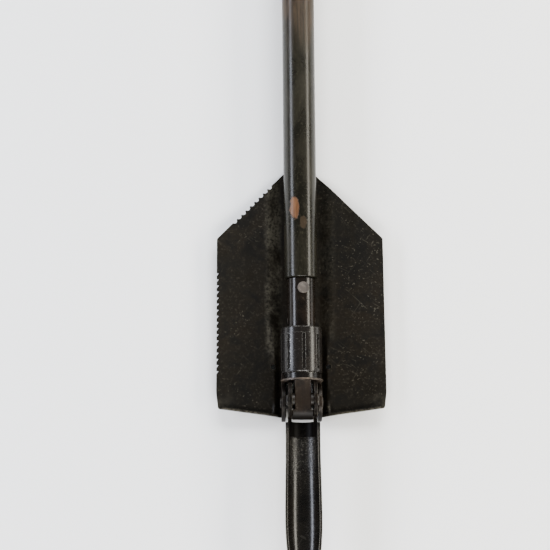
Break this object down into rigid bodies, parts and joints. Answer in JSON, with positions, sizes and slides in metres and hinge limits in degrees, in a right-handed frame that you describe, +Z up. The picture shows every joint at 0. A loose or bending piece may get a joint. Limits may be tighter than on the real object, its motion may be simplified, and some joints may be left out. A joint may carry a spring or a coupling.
{
  "type": "folding camp shovel",
  "caption": "Folding camp shovel: pointed steel blade with saw edge and folding pick on twin hinges, locked by a screw nut, on a wooden handle.",
  "frame": {"origin": "bottom centre of the whole tool, lying on the back of its folded blade with the pick out", "axes": "+Y runs up the handle to the grip end, +X across to the plain edge of the blade, +Z up from the ground"},
  "size_m": [0.15, 0.691, 0.0506],
  "materials": {
    "handle_wood": "olive paint worn through to brown wood, satin",
    "ferrule_steel": "dark brown-black paint, glossy, chipped",
    "bare_steel": "bare steel, dull and stained",
    "nut_steel": "blackened steel with bright rubbed edges",
    "hinge_steel": "blackened steel, oiled",
    "blade_steel": "black-olive paint, scratched, satin",
    "pick_steel": "black paint, rough inside, edges worn bright",
    "pin_steel": "dark oiled steel"
  },
  "bodies": {
    "handle_assembly": {"handle": "handle_wood", "ferrule": "ferrule_steel", "handle_rivet": "bare_steel", "spigot_pin": "bare_steel", "hinge_block": "hinge_steel", "blade_pin": "pin_steel", "blade_spacer_left": "pin_steel", "blade_spacer_right": "pin_steel", "blade_washer_left": "pin_steel", "blade_washer_right": "pin_steel", "pick_pin": "pin_steel", "pick_spacer_left": "pin_steel", "pick_spacer_right": "pin_steel", "pick_washer_left": "pin_steel", "pick_washer_right": "pin_steel"},
    "blade_assembly": {"blade": "blade_steel", "blade_yoke": "hinge_steel", "blade_rivets": "blade_steel"},
    "pick_assembly": {"pick": "pick_steel", "pick_yoke": "hinge_steel", "pick_rivets": "pick_steel"},
    "ring": {"thrust_ring": "bare_steel"},
    "nut": {"lock_nut": "nut_steel"}
  },
  "joints": [
    {"name": "blade_fold", "type": "hinge", "parent": "handle_assembly", "child": "blade_assembly", "pos_m": [0, -0.1405, 0.0103], "axis": [-1, 0, 0], "range_deg": [0, 180]},
    {"name": "pick_fold", "type": "hinge", "parent": "handle_assembly", "child": "pick_assembly", "pos_m": [0, -0.1405, 0.0357], "axis": [-1, 0, 0], "range_deg": [0, 180]},
    {"name": "ring_travel", "type": "slide", "parent": "handle_assembly", "child": "ring", "axis": [0, 1, 0], "range_m": [0, 0.006]},
    {"name": "nut_turn", "type": "hinge", "parent": "ring", "child": "nut", "pos_m": [0, -0.0955, 0.023], "axis": [0, 1, 0], "range_deg": [0, 720]}
  ],
  "couplings": [
    {"joint": "ring_travel", "follows": "nut_turn", "m_per_rad": 0.00047746}
  ]
}
